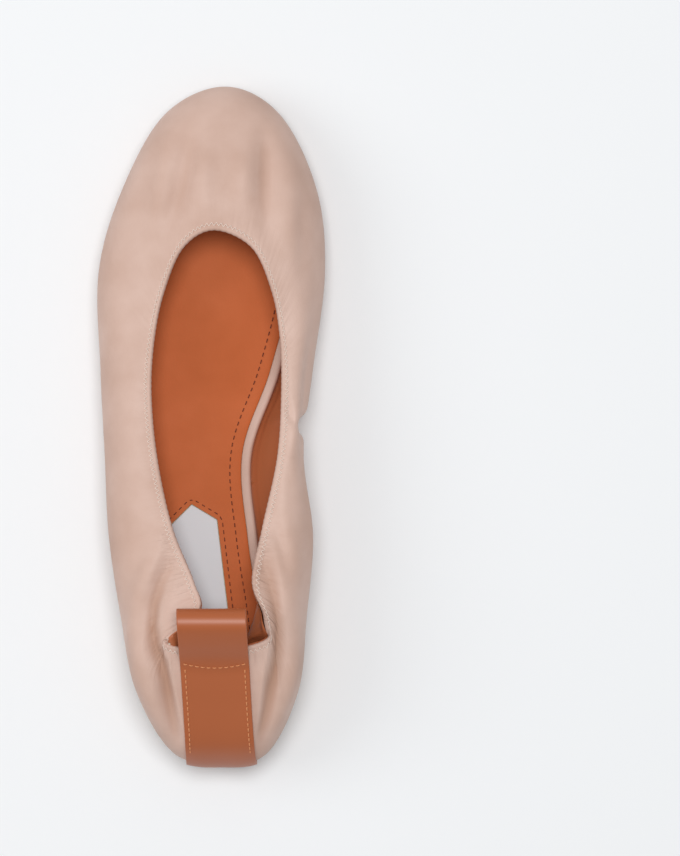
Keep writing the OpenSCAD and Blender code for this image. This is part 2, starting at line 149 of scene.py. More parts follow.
class SlipperColours(bpy.types.PropertyGroup):
    nude: colour("Nude leather", "Outer leather and wrapped edge", 212, 181, 167)
    # painted shade: this darker colour clouds the outer leather at random and also darkens it in its
    # creases
    nude_cloud_and_crease_shade: colour("Nude shade", "Outer leather in its creases", 170, 128, 104)
    tan: colour("Tan leather", "Sock", 200, 104, 56)
    tan_shade: colour("Tan shade", "Darker cloud in the sock", 172, 88, 48)
    lining: colour("Lining", "Lining leather", 92, 36, 20)
    lining_shade: colour("Lining shade", "Darker cloud in the lining", 68, 26, 16)
    # painted shade: the lining takes this colour low in the shoe, where the walls shade it
    lining_low_shade: colour("Deep lining", "Lining low down in the shoe", 58, 26, 18)
    strap: colour("Strap leather", "Heel strap and pull loop", 194, 62, 16)
    strap_shade: colour("Strap shade", "Darker cloud in the strap", 146, 42, 14)
    burnish: colour("Burnish", "Darkened edges of the strap", 96, 34, 18)
    label: colour("Label", "Cloth label", 252, 252, 255)
    light_thread: colour("Light thread", "Zigzag thread", 238, 217, 204)
    dark_thread: colour("Dark thread", "Sock thread", 116, 50, 28)
    strap_thread: colour("Strap thread", "Thread on the strap", 222, 148, 98)
    sole: colour("Sole leather", "Outsole and heel lift", 190, 150, 112)
    rubber: colour("Sole rubber", "Pads under ball and heel", 58, 48, 44)
    tape: colour("Tape", "Elastic tape and stiffeners", 222, 214, 198)
    foam: colour("Foam", "Insole foam", 226, 214, 170)
    board: colour("Board", "Insole board", 176, 140, 100)


class SlipperStage(bpy.types.PropertyGroup):
    camera_height: length("Camera height", "Height of the camera above the floor", 2.0)
    picture_height: length("Picture height", "Length that the picture's height covers", 0.3138)
    picture_centre_x: length("Picture centre X", "Middle of the picture across", 0.0473)
    picture_centre_y: length("Picture centre Y", "Middle of the picture along", -0.0004)
    floor: colour("Floor", "Pale floor", 240, 242, 244)
    key_light: FloatProperty(name="Key light", description="Power of the main light",
                             default=27, unit="POWER")
    fill_light: FloatProperty(name="Fill light", description="Power of the filling light",
                              default=7, unit="POWER")
    room_light: FloatProperty(name="Room light", description="Strength of the even light",
                              default=0.34)


def sizes():
    return bpy.context.scene.slipper_sizes


def colours():
    return bpy.context.scene.slipper_colours


# ---------------------------------------------------------------- surface of the slipper

def smooth(t):
    s = np.clip(t, 0, 1)
    return s * s * (3 - 2 * s)


def sole_height(y):
    """Height of the sole edge: heel seat, waist, flat ball and a toe that springs up."""
    y = np.asarray(y) / MM
    return (4 + 8 * smooth((10 - y) / 90) + 3.2 * (np.maximum(0, y - 80) / 42) ** 2) * MM


def spline(a, b, c, d, t):
    return 0.5 * (2 * b + (c - a) * t + (2 * a - 5 * b + 4 * c - d) * t ** 2
                  + (3 * b - a - 3 * c + d) * t ** 3)


def along(loop, u):
    """Points of a closed loop at stations u, on the smooth curve through its own points."""
    k = np.floor(u).astype(int)
    t = (u - k)[..., None]
    return spline(*(loop[(k + i) % len(loop)] for i in (-1, 0, 1, 2)), t)


def unit(vectors):
    return vectors / np.maximum(np.linalg.norm(vectors, axis=-1, keepdims=True), 1e-12)


def plain_skin(u, v):
    """The upper's outer face without its creases. v runs from the sole edge to the topline."""
    u, v = np.broadcast_arrays(np.asarray(u, float), np.asarray(v, float))
    rails = [along(loop, u) for loop in SKIN_LOOPS]
    rails[0] = rails[0].copy()
    rails[0][..., 2] = sole_height(rails[0][..., 1])
    rails = [2 * rails[0] - rails[1]] + rails + [2 * rails[4] - rails[3]]
    s = np.clip(v * 4, 0, 3.9999)
    k = np.floor(s).astype(int)[..., None]
    t = s[..., None] - k
    pick = [sum(np.where(k + i == n, rail, 0) for n, rail in enumerate(rails)) for i in range(4)]
    return spline(*pick, t)


def skin_normal(u, v):
    step, wide = 0.02, 0.35
    across = plain_skin(u + wide, v) - plain_skin(u - wide, v)
    up = plain_skin(u, np.minimum(1, v + step)) - plain_skin(u, np.maximum(0, v - step))
    return unit(np.cross(up, across))


def topline_length(u):
    """Distance round the topline from the heel centre to stations u."""
    fine = np.linspace(0, TURN, 2001)
    points = plain_skin(fine, np.ones_like(fine))
    steps = np.linalg.norm(np.diff(points, axis=0), axis=1)
    total = np.concatenate([[0], np.cumsum(steps)])
    turns = np.floor(u / TURN)
    return np.interp(u - turns * TURN, fine, total) + turns * total[-1]


def rise(u):
    """How far the surface runs per unit of v just under the topline."""
    one = np.ones_like(u)
    return np.linalg.norm(plain_skin(u, one) - plain_skin(u, 0.94 * one), axis=-1) / 0.06


def near_path(at, path):
    """Distance in plan from points to a path in millimetres, and how far along it they lie."""
    best = np.full(at.shape[:-1], 1e9)
    where = np.zeros(at.shape[:-1])
    pieces = len(path) - 1
    for n in range(pieces):
        a, b = np.array(path[n]) * MM, np.array(path[n + 1]) * MM
        t = np.clip(((at - a) @ (b - a)) / ((b - a) @ (b - a)), 0, 1)
        distance = np.linalg.norm(at - (a + t[..., None] * (b - a)), axis=-1)
        where = np.where(distance < best, (n + t) / pieces, where)
        best = np.minimum(best, distance)
    return best, where


# Folds of the soft leather, seen in plan: path, width and depth in millimetres. A negative depth
# is a ridge.
FOLDS = [
    # valleys round the corners of the opening and down beside the heel panel
    ([(-14.5, -50), (-18, -57), (-20.6, -64), (-21.4, -72), (-20.4, -79), (-17.8, -86),
      (-16.2, -92), (-15, -99), (-13.6, -107), (-12.6, -114)], 3.0, 3.6),
    ([(19, -48), (21.8, -56), (24.2, -64), (26, -72), (26.2, -80), (24.9, -87), (22.9, -95),
      (20.8, -104), (18.6, -112), (17.6, -118)], 3.4, 3.4),
    # pleat edges of the heel panel
    ([(-17.2, -79), (-14.8, -85), (-13.6, -92), (-11.2, -103), (-9.2, -113)], 1.2, -0.9),
    ([(21.2, -80.5), (19.6, -92), (18.2, -103), (16.6, -115)], 1.3, -0.8),
    # puffed rolls outside the valleys
    ([(-25, -52), (-28.5, -72), (-25.5, -90), (-19.5, -105)], 4.6, -1.5),
    ([(30, -54), (32, -76), (29.5, -92), (25, -107)], 4.2, -1.2),
    # soft hollows along the sides of the heel
    ([(-22.5, -37), (-26, -48), (-30, -59)], 3, 0.9),
    ([(-17.5, -40), (-20, -50), (-23, -57)], 2.6, -0.6),
    ([(-29, -62), (-32, -76), (-30, -92)], 2.6, 0.5),
    ([(24, -36), (27, -46), (29, -58)], 2.4, 0.9),
    ([(30, -40), (32, -52)], 2.6, -0.6),
    ([(29, -84), (26.5, -98), (22, -110)], 2.2, 0.5),
    # hollows and ridges above the throat
    ([(-7.4, 105), (-8.6, 96), (-10.6, 86), (-15.4, 73)], 3.8, 1.7),
    ([(20, 107), (20.2, 96), (19.8, 86), (20.8, 72)], 3.8, 2.0),
    ([(-14, 108), (-16.8, 92), (-20, 72)], 4.2, -1.4),
    ([(-2.4, 101), (-2.8, 90), (-2.6, 80)], 4.0, -1.2),
    ([(12.4, 99), (12.2, 82)], 4.0, -1.2),
    ([(28, 98), (29.8, 84), (29, 66)], 4.2, -1.3),
    ([(33, 84), (34.4, 66), (33.4, 52)], 3.0, 0.7),
    ([(-29, 60), (-30, 40), (-28, 22)], 4.5, 0.6),
    ([(34.6, 30), (33.4, 14), (30.5, 3)], 3.2, 0.8),
    ([(31.6, 1), (28.4, 5), (26.6, 12)], 1.8, 0.8),
    ([(31, -8), (29.4, -17), (29.6, -30)], 2.6, 0.8),
]
# Where the leather is finely gathered: a path in plan and the reach on either side of it.
GATHERED = [
    ([(-13, -57), (-16, -64), (-19.5, -71), (-20.5, -80), (-17, -88)], 4.6),
    ([(18, -55), (20.5, -63), (24, -71), (24.5, -80), (21.5, -89)], 4.6),
    ([(-17, -40), (-13, -52)], 3.4),
    ([(20, -40), (18, -52)], 3.0),
]


def below_topline(u, v):
    """Distance down the surface from the topline, in metres."""
    return (1 - v) * rise(u)


def relief(u, v, at):
    """Height of the folds, gathers and pinch above the plain skin."""
    plan = at[..., :2]
    top_side = smooth((v - 0.3) / 0.25)
    height = np.zeros(at.shape[:-1])
    for path, width, depth in FOLDS:
        distance, where = near_path(plan, path)
        ends = np.sin(np.pi * np.clip(where * 0.86 + 0.07, 0, 1)) ** 0.6
        height -= depth * MM * ends * np.exp(-(distance / (width * MM)) ** 2)
    down = below_topline(u, v) / MM
    # the lip keeps its line, so the folds fade out towards it
    height *= top_side * (0.25 + 0.75 * smooth((down - 0.8) / 3))
    # the inner side is pinched in at the waist
    pinch = np.exp(-((at[..., 1] - 0.6 * MM) / (3.2 * MM)) ** 2) * (at[..., 0] > 0)
    height -= 4.2 * MM * pinch * np.exp(-((v - 0.32) / 0.2) ** 2)
    # gathers under the elastic, strongest round the corners of the heel
    turn = np.abs((u + 10) % TURN - 10)
    arc = topline_length(u) / MM
    tight = 0.05 + 0.17 * np.exp(-((turn - 1.7) / 1.3) ** 2)
    waves = np.sin(2 * np.pi * arc / 3.3 + 1.9 * np.sin(arc / 8.1)) \
        + 0.6 * np.sin(2 * np.pi * arc / 2.1 + 1.3 * np.sin(arc / 5.3))
    gathers = tight * waves * np.exp(-down / 8) * smooth((down - 0.6) / 2.6)
    # the seam pulls the leather down into a shallow groove
    groove = 0.14 * np.exp(-((down - 2.3) / 0.9) ** 2)
    return height + (gathers - groove) * MM


def skin(u, v, depth=0.0, share=1.0):
    """The creased outer face, moved outwards by depth. share is how much of the relief it shows."""
    at = plain_skin(u, v)
    return at + skin_normal(u, v) * (share * relief(u, v, at) + depth)[..., None]


def gathered(at):
    """Where the leather is finely gathered, 0 to 1."""
    mask = np.zeros(at.shape[:-1])
    for path, width in GATHERED:
        distance = near_path(at[..., :2], path)[0]
        mask = np.maximum(mask, np.exp(-(distance / (width * MM)) ** 2))
    return mask


def inset(loop, u, depth):
    """Points of a flat loop moved inwards by depth."""
    step = 0.02
    run = unit(along(loop, u + step) - along(loop, u - step))
    sideways = np.stack([run[..., 1], -run[..., 0], np.zeros(run.shape[:-1])], axis=-1)
    return along(loop, u) + sideways * depth


# ---------------------------------------------------------------- mesh helpers

def deselect():
    if bpy.context.mode != "OBJECT":
        bpy.ops.object.mode_set(mode="OBJECT")
    bpy.ops.object.select_all(action="DESELECT")


def only(piece):
    """Selects one piece and makes it active."""
    deselect()
    piece.select_set(True)
    bpy.context.view_layer.objects.active = piece


def piece_from(name, points, faces):
    mesh = bpy.data.meshes.new(name)
    mesh.from_pydata([tuple(p) for p in points], [], faces)
    mesh.update()
    piece = bpy.data.objects.new(name, mesh)
    bpy.context.scene.collection.objects.link(piece)
    return piece


def swept(name, rings, closed=False):
    """A closed solid through rings of points. An open run of rings is capped at both ends."""
    count, size = rings.shape[:2]
    faces = []
    for i in range(count if closed else count - 1):
        a, b = i * size, (i + 1) % count * size
        faces += [(a + j, a + (j + 1) % size, b + (j + 1) % size, b + j) for j in range(size)]
    if not closed:
        faces.append(tuple(range(size)))
        faces.append(tuple(reversed(range((count - 1) * size, count * size))))
    return piece_from(name, rings.reshape(-1, 3), faces)


def face_outwards(piece):
    only(piece)
    bpy.ops.object.mode_set(mode="EDIT")
    bpy.ops.mesh.select_all(action="SELECT")
    bpy.ops.mesh.normals_make_consistent(inside=False)
    bpy.ops.object.mode_set(mode="OBJECT")


def smooth_shade(piece, degrees=40):
    only(piece)
    bpy.ops.object.shade_smooth_by_angle(angle=math.radians(degrees))


def apply_modifier(piece, kind, **values):
    only(piece)
    modifier = piece.modifiers.new(kind.lower(), kind)
    for key, value in values.items():
        setattr(modifier, key, value)
    bpy.ops.object.modifier_apply(modifier=modifier.name)


def mark(piece, values, name):
    """Stores a value per point that a material reads."""
    attribute = piece.data.attributes.new(name, "FLOAT", "POINT")
    attribute.data.foreach_set("value", np.asarray(values, np.float32))


def finish_piece(piece, material, degrees=40):
    piece.data.materials.clear()
    piece.data.materials.append(material)
    face_outwards(piece)
    smooth_shade(piece, degrees)
    deselect()
    return piece


def bend_at_ball(piece):
    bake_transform(piece)


def bend_at_heel(piece):
    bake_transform(piece)


# ---------------------------------------------------------------- materials

def set_sockets(node, values):
    """Constant values on a node's own sockets."""
    for socket, value in values.items():
        node.inputs[socket].default_value = value


def shader_node(nodes, kind, sockets=None, **settings):
    """A new shader node with its settings, and constant values on its sockets."""
    made = nodes.new("ShaderNode" + kind)
    for name, value in settings.items():
        setattr(made, name, value)
    set_sockets(made, sockets or {})
    return made


def darker(main, share):
    """A colour made darker, as seen in the gaps of a surface."""
    return tuple(part * share for part in main[:3]) + (1,)


def group_socket(group, name, direction, kind, default=None):
    socket = group.interface.new_socket(name, in_out=direction, socket_type=kind)
    if default is not None:
        socket.default_value = default
    return socket


def grain_group():
    """Fine pebbled grain and a soft cloudiness, for every leather."""
    if "Leather grain" in bpy.data.node_groups:
        return bpy.data.node_groups["Leather grain"]
    group = bpy.data.node_groups.new("Leather grain", "ShaderNodeTree")
    group_socket(group, "Vector", "INPUT", "NodeSocketVector")
    group_socket(group, "Pebble scale", "INPUT", "NodeSocketFloat", 1400.0)
    group_socket(group, "Cloud scale", "INPUT", "NodeSocketFloat", 45.0)
    group_socket(group, "Height", "OUTPUT", "NodeSocketFloat")
    group_socket(group, "Cloud", "OUTPUT", "NodeSocketFloat")
    nodes, links = group.nodes, group.links
    inside = nodes.new("NodeGroupInput")
    outside = nodes.new("NodeGroupOutput")
    pebble = shader_node(nodes, "TexVoronoi", feature="SMOOTH_F1")
    pores = shader_node(nodes, "TexNoise", {"Detail": 4})
    cloud = shader_node(nodes, "TexNoise", {"Detail": 5})
    coarser = shader_node(nodes, "Math", {1: 0.45}, operation="MULTIPLY")
    add = shader_node(nodes, "Math", {1: 0.6}, operation="MULTIPLY_ADD")
    for node in (pebble, pores, cloud):
        links.new(inside.outputs["Vector"], node.inputs["Vector"])
    links.new(inside.outputs["Pebble scale"], pebble.inputs["Scale"])
    links.new(inside.outputs["Pebble scale"], coarser.inputs[0])
    links.new(coarser.outputs[0], pores.inputs["Scale"])
    links.new(inside.outputs["Cloud scale"], cloud.inputs["Scale"])
    links.new(pores.outputs["Fac"], add.inputs[0])
    links.new(pebble.outputs["Distance"], add.inputs[2])
    links.new(add.outputs[0], outside.inputs["Height"])
    links.new(cloud.outputs["Fac"], outside.inputs["Cloud"])
    return group


def new_material(name):
    material = bpy.data.materials.new(name)
    material.use_nodes = True
    nodes = material.node_tree.nodes
    return material, nodes, material.node_tree.links, nodes["Principled BSDF"]


def object_vector(nodes):
    return nodes.new("ShaderNodeTexCoord").outputs["Object"]


def bump(nodes, links, height, distance, strength=1.0, below=None):
    node = shader_node(nodes, "Bump", {"Distance": distance, "Strength": strength})
    links.new(height, node.inputs["Height"])
    if below is not None:
        links.new(below, node.inputs["Normal"])
    return node.outputs["Normal"]


def mixed(nodes, links, factor, first, second):
    """A colour between two, by a factor that changes over the surface."""
    mix = shader_node(nodes, "Mix", data_type="RGBA")
    links.new(factor, mix.inputs[0])
    for value, socket in ((first, mix.inputs[6]), (second, mix.inputs[7])):
        if isinstance(value, bpy.types.NodeSocket):
            links.new(value, socket)
        else:
            socket.default_value = value
    return mix.outputs[2]


def spread(nodes, links, value, low, high, to_low=0.0, to_high=1.0):
    """A value between low and high, stretched to run between two others."""
    node = shader_node(nodes, "MapRange", {"From Min": low, "From Max": high,
                                           "To Min": to_low, "To Max": to_high})
    links.new(value, node.inputs["Value"])
    return node.outputs["Result"]


def attribute(nodes, name):
    return shader_node(nodes, "Attribute", attribute_name=name).outputs["Fac"]


WRINKLES_PER_METRE = (1050.0, 130.0, 1.0)     # round the topline, and down from it


def gather_bump(nodes, links, normal):
    """Fine wrinkles that run down from the topline, as strong as the piece's marks say."""
    place = shader_node(nodes, "CombineXYZ")
    links.new(attribute(nodes, "round"), place.inputs["X"])
    links.new(attribute(nodes, "down"), place.inputs["Y"])
    wrinkles = shader_node(nodes, "TexNoise", {"Scale": 1.0, "Detail": 3, "Distortion": 0.35})
    stretch = shader_node(nodes, "Mapping", {"Scale": WRINKLES_PER_METRE})
    links.new(place.outputs["Vector"], stretch.inputs["Vector"])
    links.new(stretch.outputs["Vector"], wrinkles.inputs["Vector"])
    strength = shader_node(nodes, "Math", operation="MULTIPLY")
    links.new(wrinkles.outputs["Fac"], strength.inputs[0])
    links.new(attribute(nodes, "gathers"), strength.inputs[1])
    return bump(nodes, links, strength.outputs[0], 0.0012, 0.9, normal)


def leather_material(name, main, shade, pebbles, rough, coat=0.0, creased=False, burnish_and_low_shade=None,
                     shine=0.3):
    """Dyed leather: pebbled grain and clouded colour. A creased piece gets painted shade in its
    creases, and a piece's edge mark can blend in a second colour: burnish on the strap, painted shade
    low in the shoe on the lining.
    """
    material, nodes, links, shader = new_material(name)
    vector = object_vector(nodes)
    grain = shader_node(nodes, "Group", {"Pebble scale": pebbles}, node_tree=grain_group())
    links.new(vector, grain.inputs["Vector"])
    clouded = spread(nodes, links, grain.outputs["Cloud"], 0.35, 0.75, 0.0, 0.4)
    tint = mixed(nodes, links, clouded, main, shade)
    normal = bump(nodes, links, grain.outputs["Height"], 0.00006, 0.5)
    if creased:
        normal = gather_bump(nodes, links, normal)
        # painted shade: the leather turns to its shade colour in its creases, the more the further
        # down the fold
        deep = spread(nodes, links, attribute(nodes, "crease_shade"), 0.3, 1, 0.0, 0.7)
        tint = mixed(nodes, links, deep, tint, shade)
    # a second colour by the edge mark: burnish on the strap's edges, painted shade low in the shoe on
    # the lining
    if burnish_and_low_shade is not None:
        tint = mixed(nodes, links, attribute(nodes, "edge"), tint, burnish_and_low_shade)
    links.new(tint, shader.inputs["Base Color"])
    links.new(spread(nodes, links, grain.outputs["Cloud"], 0.3, 0.7, rough - 0.05, rough + 0.06),
              shader.inputs["Roughness"])
    links.new(normal, shader.inputs["Normal"])
    set_sockets(shader, {"Specular IOR Level": shine, "Coat Weight": coat, "Coat Roughness": 0.35})
    return material


def dress(links, shader, tint, normal, rough):
    links.new(tint, shader.inputs["Base Color"])
    links.new(normal, shader.inputs["Normal"])
    shader.inputs["Roughness"].default_value = rough


def cloth_material(name, main, thread_scale, rough=0.85, depth=0.00008):
    """Woven cloth: two crossed sets of threads."""
    material, nodes, links, shader = new_material(name)
    vector = object_vector(nodes)
    heights = []
    for direction in ("X", "Y"):
        wave = shader_node(nodes, "TexWave", {"Scale": thread_scale}, bands_direction=direction)
        links.new(vector, wave.inputs["Vector"])
        heights.append(wave.outputs["Fac"])
    weave = shader_node(nodes, "Math", operation="ADD")
    links.new(heights[0], weave.inputs[0])
    links.new(heights[1], weave.inputs[1])
    woven = spread(nodes, links, weave.outputs[0], 0, 2)
    tint = mixed(nodes, links, woven, darker(main, 0.86), main)
    dress(links, shader, tint, bump(nodes, links, weave.outputs[0], depth), rough)
    return material


def thread_material(name, main):
    """Sewing thread with a slight twist of light and dark."""
    material, nodes, links, shader = new_material(name)
    wave = shader_node(nodes, "TexWave", {"Scale": 900}, bands_direction="DIAGONAL")
    links.new(object_vector(nodes), wave.inputs["Vector"])
    twist = wave.outputs["Fac"]
    tint = mixed(nodes, links, twist, darker(main, 0.8), main)
    dress(links, shader, tint, bump(nodes, links, twist, 0.00003), 0.6)
    return material


def speckled_material(name, main, scale, rough, depth, metallic=0.0):
    """Foam, rubber, board or brushed metal: a fine irregular surface."""
    material, nodes, links, shader = new_material(name)
    noise = shader_node(nodes, "TexNoise", {"Scale": scale, "Detail": 5})
    links.new(object_vector(nodes), noise.inputs["Vector"])
    specks = spread(nodes, links, noise.outputs["Fac"], 0.35, 0.65)
    tint = mixed(nodes, links, specks, darker(main, 0.75), main)
    dress(links, shader, tint, bump(nodes, links, noise.outputs["Fac"], depth), rough)
    shader.inputs["Metallic"].default_value = metallic
    return material


def stacked_leather_material(name, main):
    """The heel lift: thin layers of sole leather, one on another."""
    material, nodes, links, shader = new_material(name)
    vector = object_vector(nodes)
    wave = shader_node(nodes, "TexWave", {"Scale": 180, "Distortion": 1.2, "Detail Scale": 0.6},
                       bands_direction="Z")
    links.new(vector, wave.inputs["Vector"])
    layers = spread(nodes, links, wave.outputs["Fac"], 0.0, 0.35)
    tint = mixed(nodes, links, layers, darker(main, 0.55), main)
    dress(links, shader, tint, bump(nodes, links, layers, 0.00008), 0.5)
    return material


STEEL = (0.55, 0.56, 0.58, 1)


def material(name):
    """Each finish is made once, the first time that a piece asks for it."""
    if name in bpy.data.materials:
        return bpy.data.materials[name]
    c = colours()
    makers = {
        # the outer leather has painted shade in its creases
        "nude_leather": lambda: leather_material(name, c.nude, c.nude_cloud_and_crease_shade, 1500, 0.52,
                                                 creased=True),
        "wrap_leather": lambda: leather_material(name, c.nude, c.nude_cloud_and_crease_shade, 1500, 0.5),
        "tan_leather": lambda: leather_material(name, c.tan, c.tan_shade, 1100, 0.6, shine=0.15),
        # the lining's deep colour is painted shade low in the shoe
        "lining_leather": lambda: leather_material(name, c.lining, c.lining_shade, 1100, 0.8,
                                                   burnish_and_low_shade=c.lining_low_shade, shine=0.05),
        "strap_leather": lambda: leather_material(name, c.strap, c.strap_shade, 900, 0.46, 0.03,
                                                  burnish_and_low_shade=c.burnish, shine=0.2),
        "sole_leather": lambda: leather_material(name, c.sole, c.board, 700, 0.6),
        "label_cloth": lambda: cloth_material(name, c.label, 900),
        "tape_cloth": lambda: cloth_material(name, c.tape, 500, 0.9, 0.0001),
        "light_thread": lambda: thread_material(name, c.light_thread),
        "dark_thread": lambda: thread_material(name, c.dark_thread),
        "strap_thread": lambda: thread_material(name, c.strap_thread),
        "sole_rubber": lambda: speckled_material(name, c.rubber, 900, 0.7, 0.0001),
        "insole_foam": lambda: speckled_material(name, c.foam, 1500, 0.95, 0.0001),
        "insole_board": lambda: speckled_material(name, c.board, 500, 0.9, 0.00006),
        "shank_steel": lambda: speckled_material(name, STEEL, 900, 0.35, 0.00002, 1.0),
        "stacked_leather": lambda: stacked_leather_material(name, c.sole),
    }
    return makers[name]()


# ---------------------------------------------------------------- upper and lining

SHARE = 0.85       # how much of the outer relief the leather's back and the lining follow
CORNER = 1.05      # stations from the heel centre to the opening's corners at the heel
LIP_ROWS = 0.0065  # the leather's rows stand close together this near the lip
# fold depth at which the painted crease shade is full
FULL_CREASE_SHADE = 0.0032
LINING_MARGIN = 0.0075     # the lining lies on the outsole from here in from its edge,
LINING_CLIMB = 0.0034      # out to here, where it climbs the wall
PUCKER = 0.0021            # pitch of the small puckers along the lip


def turn_from_heel(u):
    """Stations from the heel centre, negative on the inner side."""
    return (u + TURN / 2) % TURN - TURN / 2


def round_heel(u):
    """1 round the heel's part of the opening, fading to 0 along the sides."""
    return 1 - smooth((np.abs(turn_from_heel(u)) - 2.6) / 1.3)


def lip_radius(u):
    """The lip is thinner round the heel, where the elastic pulls it tight."""
    return sizes().lip * (1 - 0.25 * round_heel(u))


def settled(rings, u, amount):
    """Rounds the tight corners of the opening, where layers laid inside would run over."""
    turn = turn_from_heel(u)
    reach = max(2, round(0.28 / abs(u[1] - u[0])))
    weight = np.maximum(np.exp(-((turn - CORNER) / 0.4) ** 2),
                        np.exp(-((turn + CORNER) / 0.45) ** 2))
    kernel = np.hanning(2 * reach + 3)[1:-1]
    kernel /= kernel.sum()
    padded = np.pad(rings, ((reach, reach), (0, 0), (0, 0)), mode="edge")
    soft = sum(kernel[k] * padded[k:k + len(rings)] for k in range(2 * reach + 1))
    blend = weight[:, None, None] * amount[None, :, None]
    return rings * (1 - blend) + soft * blend


def leather_rings(stations, rows=42):
    """Sections of the outer leather: up outside, over the lip, and down inside. Also gives each
    point's distance round the topline, down from it, and how deep it lies in a fold."""
    s = sizes()
    u = stations[:, None]
    reach = rise(stations)[:, None]
    radius = lip_radius(u)
    top = 1 - radius / reach
    near = LIP_ROWS / reach * np.linspace(1, 0, 18)[None, :]
    climb = np.linspace(0, 1, rows)[None, :-1] * (top - LIP_ROWS / reach)
    v = np.concatenate([climb, top - near], axis=1)
    plain = plain_skin(u, v)
    height = relief(np.broadcast_to(u, v.shape), v, plain)
    outer = plain + skin_normal(u, v) * height[..., None]
    tangent = unit(plain_skin(u, top) - plain_skin(u, top - 0.03))
    normal = skin_normal(u, top)
    corners = np.linspace(0, math.pi, 9)[1:][None, :]
    swell = 1 + 0.06 * np.sin(2 * np.pi * topline_length(u) / PUCKER)
    lip = outer[:, -1:] + (tangent * (radius * swell * np.sin(corners))[..., None]
                           - normal * (radius * (1 - np.cos(corners)))[..., None])
    depth = s.facing * (1 - 0.85 * round_heel(u))
    inner_v = top - np.linspace(0, 1, 4)[1:][None, :] * depth / reach
    inside = skin(u, inner_v, -2 * radius + 0 * inner_v, SHARE)
    back_v = (top - depth / reach) * np.linspace(0.98, 0, 24)[None, :]
    back = skin(u, back_v, np.full(back_v.shape, -s.leather), SHARE)
    rings = np.concatenate([outer, lip, inside, back], axis=1)
    after = rings.shape[1] - v.shape[1]
    amount = np.concatenate([np.zeros(v.shape[1]), np.linspace(0, 1, 8), np.ones(after - 8)])
    rings = settled(rings, stations, amount)
    wide = np.broadcast_to(u, v.shape)
    arc = np.pad(topline_length(wide), ((0, 0), (0, after)), mode="edge")
    down = np.pad(below_topline(wide, v), ((0, 0), (0, after)), mode="edge")
    # painted shade: how far each point lies in a fold, for darkening the leather in its creases
    crease_shade = np.pad(np.clip(-height / FULL_CREASE_SHADE, 0, 1), ((0, 0), (0, after)))
    return rings, arc, down, crease_shade


def billow(u, v):
    """How the lining swells into the shoe under the corners of the opening."""
    turn = turn_from_heel(u)
    amount = 9.5 * np.exp(-((turn + 1.85) / 0.8) ** 2) + 3.6 * np.exp(-((turn - 1.3) / 0.5) ** 2)
    amount = amount * MM * smooth((v - 0.42) / 0.3) * smooth((0.995 - v) / 0.1)
    run = unit(along(SKIN_LOOPS[4], u + 0.6) - along(SKIN_LOOPS[4], u - 0.6))
    inwards = np.stack([run[..., 1], -run[..., 0], np.full(u.shape, -0.85)], axis=-1)
    return inwards * amount[..., None]


def wall_rings(stations, outer, inner, v_low, v_high, rows, margin=None):
    """Sections of a layer between two depths under the outer face. A margin turns in at the foot
    and lies on the outsole, and such a layer hangs free between its edges."""
    u = stations[:, None]
    v = v_low + (v_high - v_low) * np.linspace(0, 1, rows)[None, :]
    v = np.broadcast_to(v, (len(stations), rows))
    # next to the lip a lining follows the thinner lip of the heel
    near_lip = 2 * (sizes().lip - lip_radius(u)) * smooth((v - 0.86) / 0.1) * (margin is not None)
    front = skin(u, v, outer + near_lip, SHARE)
    back = skin(u, v, inner + near_lip, SHARE)
    if margin is not None:
        front, back = front + billow(u + 0 * v, v), back + billow(u + 0 * v, v)
        steps = np.linspace(margin, LINING_CLIMB, 5)
        low = np.stack([inset(SOLE_LOOP, stations, step) for step in steps], axis=1)
        low[..., 2] = sole_height(low[..., 1])
        lift = np.array((0, 0, 1))
        front = np.concatenate([low + lift * 0.00015, front], axis=1)
        back = np.concatenate([low + lift * (0.00015 + outer - inner), back], axis=1)
    amount = smooth((v[0] - 0.7) / 0.2)
    amount = np.concatenate([np.zeros(front.shape[1] - rows), amount])
    return settled(np.concatenate([front, back[:, ::-1]], axis=1), stations,
                   np.concatenate([amount, amount[::-1]]))


FRONT = (WAIST, TURN - WAIST)
BACK = (-WAIST, WAIST)


class SLIPPER_OT_upper(bpy.types.Operator):
    """Makes the outer leather: a gathered shell with a folded lip"""
    bl_idname = "slipper.upper"
    bl_label = "Outer leather"

    def execute(self, context):
        for name, ends, columns, bend, nodes in (
                ("upper_front", FRONT, 380, bend_at_ball, ("vamp", "flex_leather", "quarters")),
                ("upper_back", BACK, 520, bend_at_heel, ("heel_leather",))):
            rings, arc, down, crease_shade = leather_rings(np.linspace(*ends, columns))
            piece = swept(name, rings)
            mark(piece, arc.ravel(), "round")
            mark(piece, down.ravel(), "down")
            # mark for the painted shade in the creases
            mark(piece, crease_shade.ravel(), "crease_shade")
            tight = 0.16 + 0.84 * gathered(rings)
            mark(piece, (tight * np.exp(-down / 0.011)).ravel(), "gathers")
            finish_piece(piece, material("nude_leather"), 50)
            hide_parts(*nodes)
            bend(piece)
        return {"FINISHED"}


